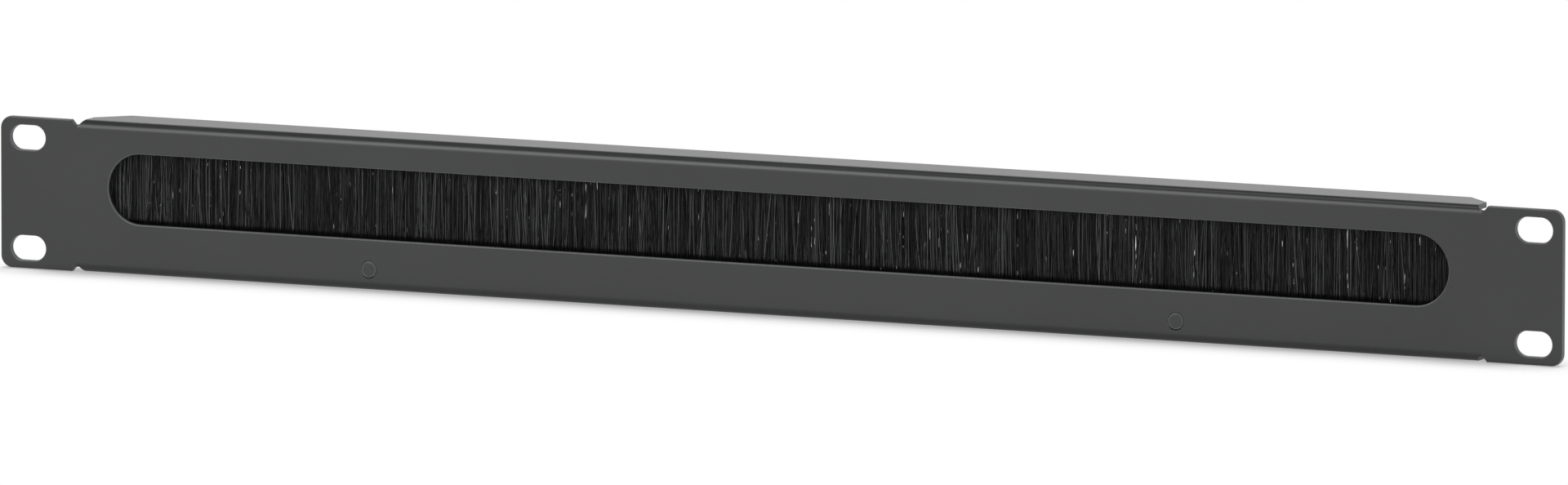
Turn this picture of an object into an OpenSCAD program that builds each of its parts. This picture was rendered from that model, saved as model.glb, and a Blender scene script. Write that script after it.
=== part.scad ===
// Brush strip panel for a 19-inch rack, one rack unit high.
// A folded steel panel with a long round-ended aperture. Behind the lower margin an extruded
// holder, bolted on two flush studs, carries a strip brush whose bristles close the aperture.
// Frame: X along the panel, Y from front to rear, Z up. The origin is at the centre of the four
// rack slots, on the rear face of the ears. Millimetres.

/* [Panel] */
// Overall width over both ears
panel_w = 482.6; // [440:0.1:520]
// Height of the ears and of the folded body
panel_h = 43.6; // [40:0.1:60]
// Thickness of the sheet
panel_t = 1.5; // [1.2:0.1:2]
// Depth from the front face to the rear edge of the flanges
panel_depth = 15.5; // [13:0.5:25]
// Inside radius of both folds
bend_r = 1.0; // [0.6:0.1:1.4]
// Width of an ear, from the panel's end to the middle of the bend reliefs
ear_w = 24.3; // [22:0.1:30]
// Radius of the ears' outer corners
ear_corner_r = 3.5; // [1:0.5:5]
// Rounding of the front edges of the sheet
edge_r = 0.45; // [0.1:0.05:0.5]
// Depth of the V-shaped bend reliefs
relief_depth = 1.4; // [1:0.1:2.2]
// Half the width of a bend relief at its mouth
relief_half_w = 1.8; // [1.2:0.1:3]
// Half the width of a bend relief at its bottom
relief_floor = 0.6; // [0.2:0.1:0.8]
// Clipped corner at the rear of each flange's ends
flange_clip = 8.0; // [1:0.5:9]

/* [Rack slots] */
// Distance from the panel's end to a slot's centre
slot_inset = 8.74; // [8:0.01:10]
// Distance from the panel's upper or lower edge to a slot's centre
slot_rise = 5.925; // [5.5:0.005:8]
// Length of a slot, end to end
slot_len = 11.0; // [8:0.1:12]
// Width of a slot
slot_w = 7.1; // [6:0.1:8]

/* [Aperture] */
// Height of the aperture
aperture_h = 20.2; // [16:0.1:21]
// Margin from a bend relief to the end of the aperture
aperture_margin = 10.0; // [6:0.5:30]

/* [Holder] */
// Wall of the extruded holder
holder_t = 1.0; // [0.8:0.1:1.3]
// Gap from the fold's inner curve to the holder's lower edge
holder_gap = 0.2; // [0.1:0.05:0.5]
// Step from the aperture's lower edge down to the top of the holder
rim_gap = 0.65; // [0.2:0.05:1]

/* [Strip brush] */
// Width of the brush's folded steel channel
channel_w = 4.8; // [4.2:0.1:6]
// Height of the channel
channel_h = 3.7; // [3.2:0.1:4.2]
// Sheet thickness of the channel
channel_t = 0.5; // [0.4:0.05:0.7]
// Free gap on each side of the channel in the holder
channel_fit = 0.1; // [0.05:0.05:0.2]
// Diameter of the core wire in the brush
wire_d = 0.8; // [0.6:0.1:1.2]
// Free gap round the core wire
wire_fit = 0.05; // [0.02:0.01:0.1]
// Free gap between the bristles and the channel
bristle_fit = 0.05; // [0.02:0.01:0.1]
// How far the brush reaches past each end of the aperture
brush_overlap = 5.5; // [2:0.5:8]
// Gap from the bristle tips to the underside of the upper flange
tip_gap = 2.3; // [1:0.1:4]
// Pitch of the bristle tufts
tuft_pitch = 1.5; // [1.2:0.1:3]
// Slit between two tufts
tuft_gap = 0.25; // [0.15:0.05:0.4]
// Unevenness of the trimmed bristle tips
tip_ragged = 0.6; // [0:0.1:1.5]
// Sideways sway of the bristles at their tips
tuft_sway = 0.8; // [0:0.1:1.2]

/* [Studs and nuts] */
// Distance between the two studs
stud_span = 249.4; // [200:0.1:380]
// Diameter of the stud's shank
stud_d = 3.0; // [2.5:0.1:3.5]
// Diameter of the stud's flush head
head_d = 4.8; // [4.4:0.1:5.5]
// Thickness of the head
head_t = 0.9; // [0.6:0.05:1]
// Free gap round the head and the shank in the sheet
head_fit = 0.1; // [0.05:0.01:0.15]
// Chamfer of the witness groove round the head
head_chamfer = 0.15; // [0.05:0.05:0.25]
// Clearance round the stud in the holder, the washer and the nut
stud_clear = 0.15; // [0.05:0.05:0.2]
// Length of stud standing past the nut
stud_end = 1.2; // [0.5:0.1:3]
// Outer diameter of the spring lock washer
washer_d = 6.0; // [5.6:0.1:7]
// Thickness of the lock washer
washer_t = 0.8; // [0.5:0.1:1.2]
// Width of the split in the lock washer
washer_split = 0.6; // [0.3:0.1:1]
// Holder material left above and below the washer
washer_edge = 0.25; // [0.1:0.05:1]
// Width of the nut across its flats
nut_af = 5.5; // [5:0.1:6]
// Height of the nut
nut_h = 2.4; // [1.8:0.1:3]
// Chamfer at the nut's corners
nut_chamfer = 0.35; // [0.2:0.05:0.5]

/* [Hidden] */
$fn = 64;
// Cuts run past the surfaces that they open by this much
over = 1;

fold_r = bend_r + panel_t;
fold_z = panel_h / 2 - fold_r;
flange_z = panel_h / 2 - panel_t;
flange_y = panel_depth - panel_t;
relief_x = panel_w / 2 - ear_w;
flange_x = relief_x - relief_half_w;

slot_x = panel_w / 2 - slot_inset;
slot_z = panel_h / 2 - slot_rise;

// The lower margin stacks up from the fold: holder leg, web, channel, then the aperture
leg_z = -fold_z + holder_gap;
web_z = leg_z + washer_d + 2 * washer_edge;
pocket_z = web_z + holder_t;
holder_top = pocket_z + channel_h;
aperture_z = holder_top + rim_gap + aperture_h / 2;
aperture_len = 2 * (relief_x - aperture_margin);

pocket_w = channel_w + 2 * channel_fit;
brush_y = holder_t + pocket_w / 2;
brush_len = aperture_len + 2 * brush_overlap;

bristle_w = channel_w - 2 * (channel_t + bristle_fit);
bristle_layer = (bristle_w - wire_d) / 2 - wire_fit;
bristle_bend_z = pocket_z + channel_t + bristle_fit + bristle_w / 2;
bristle_root_z = holder_top + rim_gap / 2;
bristle_tip_z = flange_z - tip_gap;

stud_x = stud_span / 2;
stud_z = (leg_z + web_z) / 2;
stud_len = holder_t + washer_t + nut_h + stud_end;
stud_hole_d = stud_d + 2 * stud_clear;

// Turns a shape drawn in front view, with its local z towards the viewer, into the frame
module front_view() {
    rotate([90, 0, 0]) children();
}

// Extrudes a cross-section, drawn as Y across and Z up, along X about the middle
module along_x(length) {
    rotate([90, 0, 90]) linear_extrude(length, center = true) children();
}

module both_sides() {
    children();
    mirror([1, 0, 0]) children();
}

module both_folds() {
    children();
    mirror([0, 0, 1]) children();
}

module stadium(length, width) {
    square([length - width, width], center = true);
    for (side = [-1, 1]) translate([side * (length - width) / 2, 0]) circle(d = width);
}

// What a rounded front edge leaves out: the wall is at u = 0, the front face at v = 0,
// and the material lies at negative u and v
module edge_waste() {
    difference() {
        translate([-edge_r, -edge_r]) square(edge_r + over);
        translate([-edge_r, -edge_r]) circle(edge_r);
    }
}

// Waste along a straight edge that runs along local x, with the material below it
module straight_edge(length) {
    rotate([90, 0, 90]) linear_extrude(length, center = true) edge_waste();
}

// Hole with round ends through the sheet, its front edge rounded
module slot_cut(length, width) {
    flat = length - width;
    translate([0, 0, -over]) linear_extrude(panel_t + 2 * over) stadium(length, width);
    translate([0, 0, panel_t]) {
        for (turn = [0, 180])
            rotate([0, 0, turn]) translate([0, -width / 2, 0]) straight_edge(flat);
        for (side = [-1, 1])
            translate([side * flat / 2, 0, 0])
                rotate([0, 0, -side * 90])
                    rotate_extrude(angle = 180) translate([width / 2, 0]) mirror([1, 0]) edge_waste();
    }
}

// Right ear, with rounded outer corners
module ear_outline() {
    difference() {
        translate([relief_x, -panel_h / 2]) square([ear_w, panel_h]);
        for (end = [-1, 1]) scale([1, end])
            translate([panel_w / 2 - ear_corner_r, panel_h / 2 - ear_corner_r]) difference() {
                square(ear_corner_r + over);
                circle(ear_corner_r);
            }
    }
}

// Waste round the front edge of the right ear's end, corners included
module ear_edge() {
    top = panel_h / 2;
    straight = ear_w - relief_half_w - ear_corner_r;
    translate([0, 0, panel_t]) {
        translate([panel_w / 2, 0, 0]) rotate([0, 0, -90]) straight_edge(panel_h - 2 * ear_corner_r);
        for (turn = [0, 1]) mirror([0, turn, 0]) {
            translate([panel_w / 2 - ear_corner_r - straight / 2, top, 0]) straight_edge(straight);
            translate([panel_w / 2 - ear_corner_r, top - ear_corner_r, 0])
                rotate_extrude(angle = 90) translate([ear_corner_r, 0]) edge_waste();
        }
    }
}

// U-shaped section of the folded body, in Y and Z
module fold_section() {
    difference() {
        rounded_front(-panel_t, panel_h / 2, fold_r, flange_y);
        rounded_front(0, flange_z, bend_r, flange_y + over);
    }
}

// Block from y = front to y = rear, as high as half_h each way, with its front corners rounded
module rounded_front(front, half_h, radius, rear) {
    translate([front + radius, -half_h]) square([rear - front - radius, 2 * half_h]);
    translate([front, radius - half_h]) square([rear - front, 2 * (half_h - radius)]);
    for (end = [-1, 1]) translate([front + radius, end * (half_h - radius)]) circle(radius);
}

// Waste at the right end of the upper flange: the bend relief between it and the ear, the
// flange's end and its clipped rear corner
module flange_end_cut() {
    top = panel_h / 2;
    front_view() translate([relief_x, top, -fold_r]) linear_extrude(panel_t + fold_r + over)
        polygon([[-relief_floor, -relief_depth], [relief_floor, -relief_depth], [relief_half_w, 0],
                 [relief_half_w, over], [-relief_half_w, over], [-relief_half_w, 0]]);
    translate([flange_x, 0, fold_z]) cube([relief_half_w + over, panel_depth, fold_r + over]);
    translate([0, 0, fold_z]) linear_extrude(fold_r + over)
        polygon([[flange_x - flange_clip, flange_y], [flange_x, flange_y - flange_clip],
                 [flange_x + over, flange_y - flange_clip], [flange_x + over, flange_y + over],
                 [flange_x - flange_clip, flange_y + over]]);
}

// Stepped hole for a flush stud, its mouth chamfered
module stud_seat() {
    seat_r = head_d / 2 + head_fit;
    translate([0, 0, -over]) cylinder(d = stud_d + 2 * head_fit, h = panel_t + over);
    translate([0, 0, panel_t - head_t]) cylinder(r = seat_r, h = head_t + over);
    translate([0, 0, panel_t - head_chamfer])
        cylinder(r1 = seat_r, r2 = seat_r + head_chamfer + over, h = head_chamfer + over);
}

// One folded steel sheet: face, two ears and two return flanges
module panel() {
    color("#48494a") difference() {
        union() {
            front_view() linear_extrude(panel_t) {
                square([2 * relief_x, 2 * fold_z], center = true);
                ear_outline();
                mirror([1, 0]) ear_outline();
            }
            along_x(2 * relief_x) fold_section();
        }
        both_sides() both_folds() flange_end_cut();
        front_view() {
            translate([0, aperture_z, 0]) slot_cut(aperture_len, aperture_h);
            both_sides() {
                ear_edge();
                for (end = [-1, 1]) translate([slot_x, end * slot_z, 0]) slot_cut(slot_len, slot_w);
                translate([stud_x, stud_z, 0]) stud_seat();
            }
        }
    }
}

// h-shaped aluminium extrusion: a flat leg on the panel's rear face and a pocket for the brush
module brush_holder() {
    color("#2c2d2e") difference() {
        along_x(brush_len) difference() {
            union() {
                translate([0, leg_z]) square([holder_t, holder_top - leg_z]);
                translate([0, web_z]) square([pocket_w + 2 * holder_t, holder_top - web_z]);
            }
            translate([holder_t, pocket_z]) square([pocket_w, channel_h + over]);
        }
        both_sides() translate([stud_x, over + holder_t, stud_z])
            front_view() cylinder(d = stud_hole_d, h = holder_t + 2 * over);
    }
}

// Folded channel that grips the bristles, open upwards
module brush_channel() {
    inner_r = channel_t;
    color("#a9acae") translate([0, brush_y, pocket_z]) along_x(brush_len) difference() {
        channel_block(channel_w, 0, inner_r + channel_t, channel_h);
        channel_block(channel_w - 2 * channel_t, channel_t, inner_r, channel_h + over);
    }
}

// Section block with round lower corners, its floor at z = low
module channel_block(width, low, radius, top) {
    translate([-width / 2, low + radius]) square([width, top - low - radius]);
    translate([radius - width / 2, low]) square([width - 2 * radius, top - low]);
    for (side = [-1, 1]) translate([side * (width / 2 - radius), low + radius]) circle(radius);
}

// Wire that the bristles are folded round
module core_wire() {
    color("#8d9092") translate([0, brush_y, bristle_bend_z])
        rotate([0, 90, 0]) cylinder(d = wire_d, h = brush_len, center = true);
}

// Front view of one layer of bristles: tufts with slits between them, swaying and cut unevenly
module comb(seed, phase) {
    count = floor((brush_len - phase) / tuft_pitch);
    trim = rands(0, tip_ragged, 2 * count, seed);
    sway = [for (i = [0:count - 1])
        tuft_sway * (0.6 * sin(5.3 * i + 90 * seed) + 0.4 * sin(9.1 * i + 40 * seed))];
    tufts = [for (i = [0:count - 1])
        let (left = phase - brush_len / 2 + i * tuft_pitch, right = left + tuft_pitch - tuft_gap)
        each [[left, bristle_root_z],
              [left + sway[i], bristle_tip_z - trim[2 * i]],
              [right + sway[i], bristle_tip_z - trim[2 * i + 1]],
              [right, bristle_root_z]]];
    polygon(concat([[-brush_len / 2, bristle_bend_z], [-brush_len / 2, bristle_root_z]], tufts,
                   [[brush_len / 2, bristle_root_z], [brush_len / 2, bristle_bend_z]]));
}

// Two layers of bristles, folded round the core wire at their root
module bristles() {
    color("#1d1e1e") translate([0, brush_y, 0]) {
        for (layer = [0, 1])
            translate([0, layer == 0 ? bristle_layer - bristle_w / 2 : bristle_w / 2, 0])
                front_view() linear_extrude(bristle_layer) comb(layer + 1, (layer + 0.5) * tuft_pitch / 2);
        translate([0, 0, bristle_bend_z]) along_x(brush_len) difference() {
            circle(d = bristle_w);
            circle(d = wire_d + 2 * wire_fit);
            translate([-bristle_w, 0]) square(2 * bristle_w);
        }
    }
}

// Flush-head clinch stud, its head level with the panel's front face
module stud() {
    end_chamfer = stud_d / 8;
    color("#48494a") front_view() rotate_extrude() polygon([
        [0, panel_t], [head_d / 2 - head_chamfer, panel_t], [head_d / 2, panel_t - head_chamfer],
        [head_d / 2, panel_t - head_t], [stud_d / 2, panel_t - head_t],
        [stud_d / 2, end_chamfer - stud_len], [stud_d / 2 - end_chamfer, -stud_len], [0, -stud_len]]);
}

// Split spring washer, pressed flat under the nut
module lock_washer() {
    color("#b4b6b8") translate([0, holder_t + washer_t, 0]) front_view() difference() {
        cylinder(d = washer_d, h = washer_t);
        translate([0, 0, -over]) cylinder(d = stud_hole_d, h = washer_t + 2 * over);
        rotate([0, 0, 60]) translate([0, -washer_split / 2, -over])
            cube([washer_d, washer_split, washer_t + 2 * over]);
    }
}

// Hexagon nut with chamfered corners, a flat facing up
module nut() {
    corner_r = nut_af / 2 / cos(30);
    rim = corner_r - nut_chamfer;
    bevel = nut_chamfer / 2;
    color("#b4b6b8") translate([0, holder_t + washer_t + nut_h, 0]) front_view() difference() {
        intersection() {
            cylinder(r = corner_r, h = nut_h, $fn = 6);
            rotate_extrude() polygon([[0, 0], [rim, 0], [corner_r, bevel],
                                      [corner_r, nut_h - bevel], [rim, nut_h], [0, nut_h]]);
        }
        translate([0, 0, -over]) cylinder(d = stud_hole_d, h = nut_h + 2 * over);
    }
}

module at_stud(side) {
    translate([side * stud_x, 0, stud_z]) children();
}

panel();
brush_holder();
brush_channel();
core_wire();
bristles();
at_stud(-1) stud();  // stud_left
at_stud(1) stud();  // stud_right
at_stud(-1) lock_washer();  // lock_washer_left
at_stud(1) lock_washer();  // lock_washer_right
at_stud(-1) nut();  // nut_left
at_stud(1) nut();  // nut_right
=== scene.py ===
import math
import bmesh
import bpy
from mathutils import Matrix, Vector


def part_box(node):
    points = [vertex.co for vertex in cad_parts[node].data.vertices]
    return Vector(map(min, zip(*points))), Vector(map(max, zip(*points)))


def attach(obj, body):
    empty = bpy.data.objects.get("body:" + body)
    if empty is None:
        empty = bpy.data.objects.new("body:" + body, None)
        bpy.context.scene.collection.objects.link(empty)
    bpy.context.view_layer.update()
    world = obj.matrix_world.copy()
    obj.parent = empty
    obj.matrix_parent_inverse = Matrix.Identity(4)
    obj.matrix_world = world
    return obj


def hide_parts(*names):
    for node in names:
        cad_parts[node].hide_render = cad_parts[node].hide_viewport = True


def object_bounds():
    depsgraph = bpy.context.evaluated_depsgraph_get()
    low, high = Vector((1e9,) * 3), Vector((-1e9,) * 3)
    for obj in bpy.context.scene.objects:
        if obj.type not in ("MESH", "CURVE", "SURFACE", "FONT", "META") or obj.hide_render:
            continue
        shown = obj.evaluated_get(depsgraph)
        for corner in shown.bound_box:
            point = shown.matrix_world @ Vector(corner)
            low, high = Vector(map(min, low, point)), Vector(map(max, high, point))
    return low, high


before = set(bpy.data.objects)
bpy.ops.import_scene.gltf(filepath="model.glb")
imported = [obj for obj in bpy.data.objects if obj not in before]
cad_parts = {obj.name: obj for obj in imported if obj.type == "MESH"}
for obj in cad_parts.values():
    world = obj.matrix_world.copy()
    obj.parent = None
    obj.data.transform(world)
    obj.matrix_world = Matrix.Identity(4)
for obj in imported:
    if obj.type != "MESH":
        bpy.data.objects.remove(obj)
cad_low, cad_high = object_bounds()
MM = 0.001


# Stage: a pale floor, a white surround that is dim overhead, a softbox in front on the left,
# a small lamp above and a long lens. The panel stands on its lower flange on a bench.

CAMERA_DISTANCE = 5.865
CAMERA_LENS = 480
CAMERA_AZIMUTH = math.radians(24.73)
CAMERA_ELEVATION = math.radians(7.65)
CAMERA_ROLL = math.radians(0.085)
CAMERA_ASIDE = -4.36 * MM
CAMERA_RISE = 0.92 * MM
SOFTBOX = {"azimuth": -28, "elevation": 28, "distance": 1.0, "size": (0.62, 0.56), "power": 3.6}
TOP_LAMP = {"azimuth": -50, "elevation": 76, "distance": 1.2, "size": (0.45, 0.3), "power": 0.9}
SKY_LIGHT = 0.72
OVERHEAD_FROM = 0.35
OVERHEAD_TO = 0.8
OVERHEAD_GLOW = 0.12
FLOOR_HALF = 12
FLOOR_GAP = 0.02 * MM
FLOOR_PALENESS = 0.86
CONTACT_REACH = 22 * MM
CONTACT_CLOSED = 0.5
CONTACT_OPEN = 0.91
CONTACT_DARKEST = 0.43


def direction(azimuth, elevation):
    """Unit vector from the panel towards a place at that azimuth and elevation."""
    level = math.cos(elevation)
    return Vector((math.sin(azimuth) * level, -math.cos(azimuth) * level, math.sin(elevation)))


def put(tree, kind, settings=None, **inputs):
    """Adds a node. Inputs are socket names, with _ for a blank, or i and the socket's number,
    and each is given a value or a socket to link."""
    node = tree.nodes.new(kind)
    for name, value in (settings or {}).items():
        setattr(node, name, value)
    for name, value in inputs.items():
        key = int(name[1:]) if name[1:].isdigit() else name.replace("_", " ")
        socket = node.inputs[key]
        if isinstance(value, bpy.types.NodeSocket):
            tree.links.new(value, socket)
        else:
            socket.default_value = value
    return node


def maths(tree, operation, a, b=0.0, c=0.0, clamp=False):
    """A Math node's result."""
    settings = {"operation": operation, "use_clamp": clamp}
    return put(tree, "ShaderNodeMath", settings, i0=a, i1=b, i2=c).outputs[0]


def ramp(tree, value, start, end, low=0.0, high=1.0):
    """Smooth step of a value from low at start to high at end."""
    node = put(tree, "ShaderNodeMapRange", {"interpolation_type": "SMOOTHSTEP"}, Value=value,
               From_Min=start, From_Max=end, To_Min=low, To_Max=high)
    return node.outputs["Result"]


def blank_material(name):
    """A node material with an output and nothing else."""
    material = bpy.data.materials.new(name)
    material.use_nodes = True
    material.node_tree.nodes.clear()
    return material, material.node_tree, put(material.node_tree, "ShaderNodeOutputMaterial")


def rays_that_see_white(tree):
    """1 for camera, glossy and transmission rays, 0 for the rays that only light things."""
    path = put(tree, "ShaderNodeLightPath")
    seen = maths(tree, "MAXIMUM", path.outputs["Is Camera Ray"], path.outputs["Is Glossy Ray"])
    return maths(tree, "MAXIMUM", seen, path.outputs["Is Transmission Ray"]), path


mid = Vector((0, cad_low.y, (cad_low.z + cad_high.z) / 2))
back = direction(CAMERA_AZIMUTH, CAMERA_ELEVATION)
level_right = Vector((math.cos(CAMERA_AZIMUTH), math.sin(CAMERA_AZIMUTH), 0))
level_up = back.cross(level_right)
right = level_right * math.cos(CAMERA_ROLL) + level_up * math.sin(CAMERA_ROLL)
up = back.cross(right)
camera = bpy.data.objects.new("camera", bpy.data.cameras.new("camera"))
camera.data.lens = CAMERA_LENS
camera.data.sensor_width = 36
camera.data.clip_start = 0.1
camera.data.clip_end = 60
turn = Matrix((right, up, back)).transposed().to_4x4()
stand = mid + back * CAMERA_DISTANCE - right * CAMERA_ASIDE - up * CAMERA_RISE
camera.matrix_world = Matrix.Translation(stand) @ turn
bpy.context.scene.collection.objects.link(camera)
bpy.context.scene.camera = camera

for name, lamp in (("softbox", SOFTBOX), ("top_lamp", TOP_LAMP)):
    light = bpy.data.objects.new(name, bpy.data.lights.new(name, "AREA"))
    light.data.shape = "RECTANGLE"
    light.data.size, light.data.size_y = lamp["size"]
    light.data.energy = lamp["power"]
    aim = direction(math.radians(lamp["azimuth"]), math.radians(lamp["elevation"]))
    facing = aim.to_track_quat("Z", "Y").to_matrix().to_4x4()
    light.matrix_world = Matrix.Translation(mid + aim * lamp["distance"]) @ facing
    bpy.context.scene.collection.objects.link(light)

world = bpy.data.worlds.new("surround")
world.use_nodes = True
world.node_tree.nodes.clear()
sky = world.node_tree
white_rays, sky_path = rays_that_see_white(sky)
ray = put(sky, "ShaderNodeTexCoord").outputs["Generated"]
upwards = put(sky, "ShaderNodeSeparateXYZ", Vector=ray).outputs["Z"]
overhead = ramp(sky, upwards, OVERHEAD_FROM, OVERHEAD_TO, 1.0, OVERHEAD_GLOW)
seen = maths(sky, "MAXIMUM", overhead, sky_path.outputs["Is Camera Ray"])
strength = put(sky, "ShaderNodeMix", {"data_type": "FLOAT"}, i0=white_rays, i2=SKY_LIGHT, i3=seen)
glow = put(sky, "ShaderNodeBackground", Color=(1, 1, 1, 1), Strength=strength.outputs[0])
put(sky, "ShaderNodeOutputWorld", Surface=glow.outputs[0])
bpy.context.scene.world = world
bpy.context.scene.view_settings.view_transform = "Standard"

floor_mesh = bpy.data.meshes.new("floor")
corners = [(x * FLOOR_HALF, y * FLOOR_HALF, cad_low.z - FLOOR_GAP)
           for x, y in ((-1, -1), (1, -1), (1, 1), (-1, 1))]
floor_mesh.from_pydata(corners, [], [(0, 1, 2, 3)])
floor = bpy.data.objects.new("floor", floor_mesh)
bpy.context.scene.collection.objects.link(floor)
pale, tree, out = blank_material("pale_floor")
contact = put(tree, "ShaderNodeAmbientOcclusion", {"samples": 8}, Distance=CONTACT_REACH)
shade = put(tree, "ShaderNodeMapRange", Value=contact.outputs["AO"], From_Min=CONTACT_CLOSED,
            From_Max=CONTACT_OPEN, To_Min=CONTACT_DARKEST, To_Max=1.0)
pale_grey = (FLOOR_PALENESS, FLOOR_PALENESS, FLOOR_PALENESS, 1)
matt = put(tree, "ShaderNodeBsdfDiffuse", Color=pale_grey)
bright = put(tree, "ShaderNodeEmission", Strength=shade.outputs["Result"])
white_rays, _ = rays_that_see_white(tree)
floor_look = put(tree, "ShaderNodeMixShader", i0=white_rays, i1=matt.outputs[0],
                 i2=bright.outputs[0])
tree.links.new(floor_look.outputs[0], out.inputs["Surface"])
floor_mesh.materials.append(pale)


# Panel: one blank of 1.5 mm steel sheet, punched, then folded back along its upper and lower
# edges, and powder coated satin black. Its folds and rims are the CAD solid's own.

COAT_COLOR = (0.0255, 0.0262, 0.0268, 1)
COAT_ROUGHNESS = 0.31
COAT_THINNING_AND_HIGHLIGHT = 4.0
COAT_GRAIN = 0.5 * MM
COAT_CLOUD = 45 * MM
ROUNDING_FROM = 0.01 * MM
ROUNDING_TO = 0.12 * MM
WALL_FROM = 0.40 * MM
WALL_TO = 0.55 * MM
FOLD_MARGIN = 4 * MM
EAR_REACH = 22.5 * MM


def effect_group(name, inputs, outputs):
    """A shader node group with those float inputs, and outputs given as name and socket type."""
    group = bpy.data.node_groups.new(name, "ShaderNodeTree")
    for label, value in inputs:
        socket = group.interface.new_socket(label, in_out="INPUT", socket_type="NodeSocketFloat")
        socket.default_value = value
    for label, kind in outputs:
        group.interface.new_socket(label, in_out="OUTPUT", socket_type=kind)
    return group, group.nodes.new("NodeGroupInput"), group.nodes.new("NodeGroupOutput")


def noise(tree, vector, size, detail=2.0, roughness=0.5):
    """Noise whose features are about size metres across; size may be a socket."""
    scale = maths(tree, "DIVIDE", 1.0, size)
    node = put(tree, "ShaderNodeTexNoise", Vector=vector, Scale=scale, Detail=detail,
               Roughness=roughness)
    return node.outputs["Fac"]


def use_group(tree, group, **values):
    """Places a shared group in a material with its own values."""
    node = tree.nodes.new("ShaderNodeGroup")
    node.node_tree = group
    for name, value in values.items():
        node.inputs[name.replace("_", " ")].default_value = value
    return node


# Fine grain and slow clouding of a sprayed, plated or anodised skin
skin, given, made = effect_group(
    "skin_variation",
    [("Grain Size", 0.0005), ("Cloud Size", 0.04), ("Clouding", 0.1), ("Roughness", 0.4),
     ("Roughness Spread", 0.05), ("Relief", 0.05), ("Relief Distance", 0.00005)],
    [("Tone", "NodeSocketFloat"), ("Roughness", "NodeSocketFloat"),
     ("Normal", "NodeSocketVector")])
where = put(skin, "ShaderNodeTexCoord").outputs["Object"]
grain = noise(skin, where, given.outputs["Grain Size"])
cloud = noise(skin, where, given.outputs["Cloud Size"], detail=3.0)
patchy = maths(skin, "SUBTRACT", cloud, 0.5)
uneven = maths(skin, "SUBTRACT", grain, 0.5)
around_one = maths(skin, "MULTIPLY_ADD", patchy, given.outputs["Clouding"], 1.0)
fleck = maths(skin, "MULTIPLY", uneven, given.outputs["Clouding"])
skin.links.new(maths(skin, "ADD", around_one, fleck), made.inputs["Tone"])
rough = maths(skin, "MULTIPLY_ADD", uneven, given.outputs["Roughness Spread"],
              given.outputs["Roughness"])
skin.links.new(rough, made.inputs["Roughness"])
relief = put(skin, "ShaderNodeBump", Height=grain, Strength=given.outputs["Relief"],
             Distance=given.outputs["Relief Distance"])
skin.links.new(relief.outputs["Normal"], made.inputs["Normal"])


def toned(tree, color, tone):
    """The colour made lighter or darker by a tone round 1."""
    settings = {"data_type": "RGBA", "blend_type": "MULTIPLY"}
    return put(tree, "ShaderNodeMix", settings, i0=1.0, i6=color, i7=tone).outputs[2]


# The coat looks lighter over the rounded front edges of the holes and of the ears: partly the
# coat's own thinning there, partly a painted highlight along these rims
coat, tree, out = blank_material("black_powder_coat")
sprayed = use_group(tree, skin, Grain_Size=COAT_GRAIN, Cloud_Size=COAT_CLOUD, Clouding=0.35,
                    Roughness=COAT_ROUGHNESS, Roughness_Spread=0.12, Relief=0.12,
                    Relief_Distance=0.02 * MM)
low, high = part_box("panel")
place = put(tree, "ShaderNodeSeparateXYZ", Vector=put(tree, "ShaderNodeTexCoord").outputs["Object"])
across, depth, height = place.outputs
rounding = ramp(tree, depth, low.y + ROUNDING_FROM, low.y + ROUNDING_TO)
before_walls = ramp(tree, depth, low.y + WALL_FROM, low.y + WALL_TO, 1.0, 0.0)
on_face = maths(tree, "LESS_THAN", maths(tree, "ABSOLUTE", height), high.z - FOLD_MARGIN)
on_ears = maths(tree, "GREATER_THAN", maths(tree, "ABSOLUTE", across), high.x - EAR_REACH)
edges = maths(tree, "MULTIPLY", maths(tree, "MULTIPLY", rounding, before_walls),
              maths(tree, "MAXIMUM", on_face, on_ears))
# The edge mask lightens the coat's colour there: a painted highlight along the rims, on top of the
# coat's thinning.
thinned_and_highlit = maths(tree, "MULTIPLY", maths(tree, "MULTIPLY_ADD", edges, COAT_THINNING_AND_HIGHLIGHT, 1.0),
                sprayed.outputs["Tone"])
paint = put(tree, "ShaderNodeBsdfPrincipled", Base_Color=toned(tree, COAT_COLOR, thinned_and_highlit),
            Roughness=sprayed.outputs["Roughness"], Normal=sprayed.outputs["Normal"], IOR=1.5)
tree.links.new(paint.outputs[0], out.inputs["Surface"])


def dress(node, *materials):
    """Gives a CAD node's object its materials."""
    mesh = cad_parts[node].data
    mesh.materials.clear()
    for material in materials:
        mesh.materials.append(material)


dress("panel", coat)


# Studs: two flush-head clinch studs, pressed into the sheet before it is coated, so that their
# heads are black like the panel and their threads stay zinc plated.

HEAD_THICKNESS = 0.9 * MM
HEAD_BEVEL = 0.15 * MM
GROOVE_INSET = 0.35 * MM
GROOVE_HALF = 0.125 * MM
SHANK_RADIUS = 1.5 * MM
END_CHAMFER = 0.1 * MM
END_PLAIN = 0.35 * MM
THREAD_PITCH = 0.5 * MM
THREAD_DEPTH = 0.27 * MM
THREAD_SIDES = 24
THREAD_STEPS = 6
ZINC_COLOR = (0.52, 0.53, 0.54, 1)

zinc, tree, out = blank_material("zinc_plate")
plated = use_group(tree, skin, Grain_Size=0.9 * MM, Cloud_Size=6 * MM, Clouding=0.3,
                   Roughness=0.34, Roughness_Spread=0.2, Relief=0.1, Relief_Distance=0.02 * MM)
bright_zinc = toned(tree, ZINC_COLOR, plated.outputs["Tone"])
metal = put(tree, "ShaderNodeBsdfPrincipled", Base_Color=bright_zinc, Metallic=1.0,
            Roughness=plated.outputs["Roughness"], Normal=plated.outputs["Normal"])
tree.links.new(metal.outputs[0], out.inputs["Surface"])


def new_piece(name, mesh, slot, *materials):
    """Links a finished mesh as a piece that rides with the panel."""
    piece = bpy.data.objects.new(name, mesh)
    bpy.context.scene.collection.objects.link(piece)
    for material in materials:
        mesh.materials.append(material)
    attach(piece, "root")
    return piece


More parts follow.
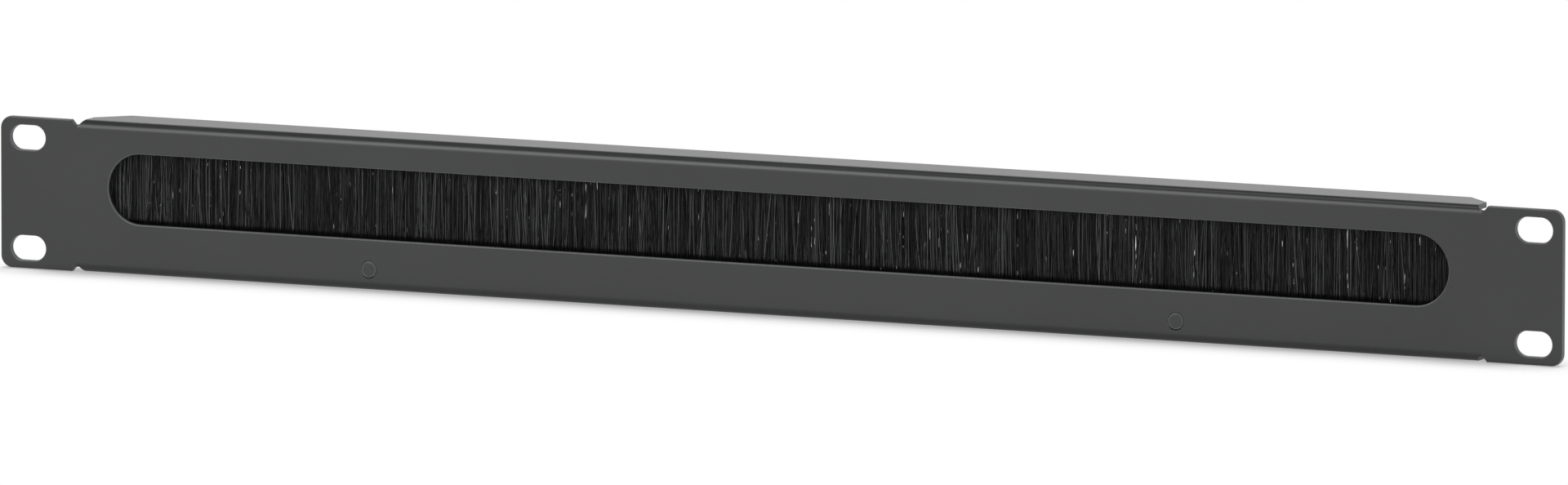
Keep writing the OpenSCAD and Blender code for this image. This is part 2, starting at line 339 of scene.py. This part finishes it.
def revolved(rings, centre, sides, thread_from=None):
    """Closed turned mesh about an axis along Y. Rings are (radius, y), from front to rear; behind
    thread_from the rings carry a helical thread. Faces behind it get the second material."""
    shape = bmesh.new()
    loops = []
    for radius, y in rings:
        loop = []
        for i in range(sides):
            angle = 2 * math.pi * i / sides
            cut = 0.0
            if thread_from is not None and y > thread_from:
                turn_part = ((y - thread_from) / THREAD_PITCH + i / sides) % 1.0
                cut = THREAD_DEPTH * (1 - abs(2 * turn_part - 1))
            r = radius - cut
            point = (centre.x + r * math.cos(angle), y, centre.z + r * math.sin(angle))
            loop.append(shape.verts.new(point))
        loops.append(loop)
    shape.faces.new(loops[0])
    shape.faces.new(loops[-1])
    for (first, second), (_, y) in zip(zip(loops, loops[1:]), rings):
        for i in range(sides):
            j = (i + 1) % sides
            face = shape.faces.new((first[i], first[j], second[j], second[i]))
            face.material_index = 1 if thread_from is not None and y >= thread_from else 0
            face.smooth = True
    loops[-1][0].link_faces[0].material_index = 0
    bmesh.ops.recalc_face_normals(shape, faces=shape.faces[:])
    mesh = bpy.data.meshes.new("turned")
    shape.to_mesh(mesh)
    shape.free()
    return mesh


for side in ("left", "right"):
    low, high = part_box("stud_" + side)
    head_r = (high.x - low.x) / 2
    head_back = low.y + HEAD_THICKNESS
    groove_r = head_r - GROOVE_INSET
    rings = [(groove_r - GROOVE_HALF, low.y), (groove_r, low.y + HEAD_BEVEL),
             (groove_r + GROOVE_HALF, low.y), (head_r - HEAD_BEVEL, low.y),
             (head_r, low.y + HEAD_BEVEL), (head_r, head_back), (SHANK_RADIUS, head_back)]
    steps = int((high.y - END_PLAIN - head_back) / (THREAD_PITCH / THREAD_STEPS))
    rings += [(SHANK_RADIUS, head_back + (k + 1) * THREAD_PITCH / THREAD_STEPS)
              for k in range(steps)]
    rings += [(SHANK_RADIUS - END_CHAMFER, high.y)]
    mesh = revolved(rings, (low + high) / 2, THREAD_SIDES, head_back)
    stud = new_piece("stud_threaded_" + side, mesh, "stud", coat, zinc)
    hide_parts("stud_" + side)


# Holder: an h-shaped aluminium extrusion, black anodised and sawn to length. Its leg lies on the
# panel's rear face under the two nuts, and its pocket takes the strip brush.

ANODISED_COLOR = (0.022, 0.022, 0.024, 1)
DIE_LINE_WIDTH = 0.25 * MM
DIE_LINE_STRETCH = 0.01

anodised, tree, out = blank_material("black_anodised")
drawn = use_group(tree, skin, Grain_Size=0.6 * MM, Cloud_Size=30 * MM, Clouding=0.3,
                  Roughness=0.4, Roughness_Spread=0.1, Relief=0.05, Relief_Distance=0.02 * MM)
stretch = put(tree, "ShaderNodeMapping", Vector=put(tree, "ShaderNodeTexCoord").outputs["Object"],
              Scale=(DIE_LINE_STRETCH, 1, 1))
lines = noise(tree, stretch.outputs[0], DIE_LINE_WIDTH, detail=3.0)
ridges = put(tree, "ShaderNodeBump", Height=lines, Strength=0.15, Distance=0.02 * MM,
             Normal=drawn.outputs["Normal"])
near_black = toned(tree, ANODISED_COLOR, drawn.outputs["Tone"])
black = put(tree, "ShaderNodeBsdfPrincipled", Base_Color=near_black,
            Roughness=drawn.outputs["Roughness"], Normal=ridges.outputs["Normal"], IOR=1.6)
tree.links.new(black.outputs[0], out.inputs["Surface"])
dress("brush_holder", anodised)


# Strip brush: nylon filaments folded round a galvanised core wire and gripped in a folded steel
# channel. The filaments are loose, so they lean, cross and end a little unevenly.

FILAMENT_RADIUS = 0.09 * MM
FILAMENT_LEAN = math.radians(6)
FILAMENT_BOW = 0.4 * MM
FILAMENT_TRIM = 1.2 * MM
CLUMP_LEAN = math.radians(8)
CLUMP_DENSITY = 260.0
LAYER_COUNT = 9500
LAYER_CLOSING = 0.01
LAYER_SHORTER = 1.2 * MM
ROOT_RISE = 1.5 * MM
NYLON_COLOR = (0.0315, 0.0328, 0.0322, 1)
FILAMENT_TONE_LOW = 0.36
FILAMENT_TONE_AND_GLINT_SPREAD = 4.6
FILAMENT_GLINT_RARITY = 5.0
RIM_GAP = 0.65 * MM
ROOT_DARK_TO = 0.5 * MM
ROOT_LIGHT_FROM = 1.6 * MM
ROOT_SHADE_LEVEL = 0.02

dress("brush_channel", zinc)
dress("core_wire", zinc)

nylon, tree, out = blank_material("black_nylon")
strand = put(tree, "ShaderNodeAttribute", {"attribute_name": "shade"}).outputs["Fac"]
place = put(tree, "ShaderNodeTexCoord").outputs["Object"]
height = put(tree, "ShaderNodeSeparateXYZ", Vector=place).outputs["Z"]
low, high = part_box("bristles")
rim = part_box("brush_holder")[1].z + RIM_GAP
# The filaments' colour fades almost to black just above the holder, behind the aperture's lower
# rim: painted shade for the deep recess there.
painted_root_shade = ramp(tree, height, rim + ROOT_DARK_TO, rim + ROOT_LIGHT_FROM, ROOT_SHADE_LEVEL, 1.0)
tone = maths(tree, "MULTIPLY", strand, painted_root_shade)
sheen = put(tree, "ShaderNodeBsdfPrincipled", Base_Color=toned(tree, NYLON_COLOR, tone),
            Roughness=0.42, IOR=1.5, Specular_IOR_Level=0.2)
tree.links.new(sheen.outputs[0], out.inputs["Surface"])


def geometry_tree(name, inputs):
    """An empty geometry node tree with those named inputs, its inlet and its outlet."""
    tree = bpy.data.node_groups.new(name, "GeometryNodeTree")
    tree.interface.new_socket("Geometry", in_out="INPUT", socket_type="NodeSocketGeometry")
    for label, kind in inputs:
        tree.interface.new_socket(label, in_out="INPUT", socket_type=kind)
    tree.interface.new_socket("Geometry", in_out="OUTPUT", socket_type="NodeSocketGeometry")
    return tree, tree.nodes.new("NodeGroupInput"), tree.nodes.new("NodeGroupOutput")


def chance(tree, low, high, seed, salt):
    """Random number for each point, between low and high; the salt keeps draws apart."""
    number = maths(tree, "ADD", seed, salt)
    node = put(tree, "FunctionNodeRandomValue", {"data_type": "FLOAT"}, i2=low, i3=high, i8=number)
    return node.outputs[1]


rows, given, made = geometry_tree("bristle_layer", [
    ("Count", "NodeSocketInt"), ("Length", "NodeSocketFloat"), ("Depth", "NodeSocketFloat"),
    ("Middle", "NodeSocketFloat"), ("Root", "NodeSocketFloat"), ("Height", "NodeSocketFloat"),
    ("Trim", "NodeSocketFloat"), ("Lean", "NodeSocketFloat"), ("Clumping", "NodeSocketFloat"),
    ("Bow", "NodeSocketFloat"), ("Closing", "NodeSocketFloat"), ("Radius", "NodeSocketFloat"),
    ("Seed", "NodeSocketInt"), ("Material", "NodeSocketMaterial")])
g = given.outputs
points = put(rows, "GeometryNodeMeshLine", {"mode": "OFFSET"}, Count=g["Count"], Offset=(0, 0, 0))
along = maths(rows, "DIVIDE", put(rows, "GeometryNodeInputIndex").outputs[0], g["Count"])
x = maths(rows, "MULTIPLY", maths(rows, "SUBTRACT", along, 0.5), g["Length"])
across = chance(rows, -0.5, 0.5, g["Seed"], 1)
y = maths(rows, "MULTIPLY_ADD", across, g["Depth"], g["Middle"])
root = put(rows, "ShaderNodeCombineXYZ", X=x, Y=y, Z=g["Root"])
placed = put(rows, "GeometryNodeSetPosition", Geometry=points.outputs[0], Position=root.outputs[0])

axis = put(rows, "GeometryNodeCurvePrimitiveLine", End=(0, 0, 1))
stations = put(rows, "GeometryNodeResampleCurve", Curve=axis.outputs[0], Count=4)
part_way = put(rows, "GeometryNodeSplineParameter").outputs["Factor"]
swell = maths(rows, "SINE", maths(rows, "MULTIPLY", part_way, math.pi))
bend = put(rows, "ShaderNodeCombineXYZ", X=maths(rows, "MULTIPLY", swell, g["Bow"]))
bowed = put(rows, "GeometryNodeSetPosition", Geometry=stations.outputs[0], Offset=bend.outputs[0])
section = put(rows, "GeometryNodeCurvePrimitiveCircle", Resolution=3, Radius=g["Radius"])
filament = put(rows, "GeometryNodeCurveToMesh", Curve=bowed.outputs[0],
               Profile_Curve=section.outputs[0], Fill_Caps=True)

clump_at = put(rows, "ShaderNodeCombineXYZ", X=x, Y=maths(rows, "MULTIPLY", g["Seed"], 0.37))
clump = put(rows, "ShaderNodeTexNoise", Vector=clump_at.outputs[0], Scale=CLUMP_DENSITY,
            Detail=3.0).outputs["Fac"]
together = maths(rows, "MULTIPLY", maths(rows, "SUBTRACT", clump, 0.5), g["Clumping"])
mostly_upright = maths(rows, "POWER", chance(rows, -1.0, 1.0, g["Seed"], 2), 3.0)
stray = maths(rows, "MULTIPLY", mostly_upright, g["Lean"])
lean = maths(rows, "ADD", together, stray)
close = maths(rows, "MULTIPLY", across, g["Closing"])
tilt = put(rows, "ShaderNodeCombineXYZ", X=close, Y=lean)
cut = maths(rows, "MULTIPLY", chance(rows, 0.0, 1.0, g["Seed"], 3), g["Trim"])
size = put(rows, "ShaderNodeCombineXYZ", X=1.0, Y=1.0, Z=maths(rows, "SUBTRACT", g["Height"], cut))
stood = put(rows, "GeometryNodeInstanceOnPoints", Points=placed.outputs[0],
            Instance=filament.outputs[0], Rotation=tilt.outputs[0], Scale=size.outputs[0])
spin = put(rows, "ShaderNodeCombineXYZ", Z=chance(rows, 0.0, 2 * math.pi, g["Seed"], 4))
spun = put(rows, "GeometryNodeRotateInstances", Instances=stood.outputs[0],
           Rotation=spin.outputs[0], Local_Space=True)
# A random tone for each filament; its rare light ones are painted glints, highlights standing in
# for light caught along single filaments.
luck = maths(rows, "POWER", chance(rows, 0.0, 1.0, g["Seed"], 5), FILAMENT_GLINT_RARITY)
light = maths(rows, "MULTIPLY_ADD", luck, FILAMENT_TONE_AND_GLINT_SPREAD, FILAMENT_TONE_LOW)
marked = put(rows, "GeometryNodeStoreNamedAttribute", {"data_type": "FLOAT", "domain": "INSTANCE"},
             Geometry=spun.outputs[0], Name="shade", i3=light)
real = put(rows, "GeometryNodeRealizeInstances", Geometry=marked.outputs[0])
soft = put(rows, "GeometryNodeSetShadeSmooth", Geometry=real.outputs[0], Shade_Smooth=True)
coated = put(rows, "GeometryNodeSetMaterial", Geometry=soft.outputs[0], Material=g["Material"])
rows.links.new(coated.outputs[0], made.inputs[0])


def grown(name, tree, values):
    """Runs a geometry tree with those inputs on an empty mesh and returns the plain mesh."""
    carrier = bpy.data.objects.new(name, bpy.data.meshes.new(name))
    bpy.context.scene.collection.objects.link(carrier)
    modifier = carrier.modifiers.new("grow", "NODES")
    modifier.node_group = tree
    for item in tree.interface.items_tree:
        if item.item_type == "SOCKET" and item.in_out == "INPUT" and item.name in values:
            modifier[item.identifier] = values[item.name]
    depsgraph = bpy.context.evaluated_depsgraph_get()
    mesh = bpy.data.meshes.new_from_object(carrier.evaluated_get(depsgraph))
    bpy.data.objects.remove(carrier)
    return mesh


brush_y = (low.y + high.y) / 2
layer_depth = (high.y - low.y) / 2
brush_length = high.x - low.x - LAYER_SHORTER
for seed, (name, side) in enumerate((("bristles_front", -1), ("bristles_rear", 1)), start=1):
    mesh = grown(name, rows, {
        "Count": LAYER_COUNT, "Length": brush_length, "Depth": layer_depth - 2 * FILAMENT_RADIUS,
        "Middle": brush_y + side * layer_depth / 2, "Root": low.z + ROOT_RISE,
        "Height": high.z - low.z - ROOT_RISE, "Trim": FILAMENT_TRIM, "Lean": FILAMENT_LEAN,
        "Clumping": CLUMP_LEAN, "Bow": FILAMENT_BOW, "Closing": LAYER_CLOSING,
        "Radius": FILAMENT_RADIUS, "Seed": seed, "Material": nylon})
    layer = new_piece(name, mesh, "bristles")
    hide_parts("bristles")


# Nuts and washers: M3 hexagon nuts over split spring washers, both zinc plated, draw the
# holder's leg against the panel.

for side in ("left", "right"):
    dress("lock_washer_" + side, zinc)
    dress("nut_" + side, zinc)
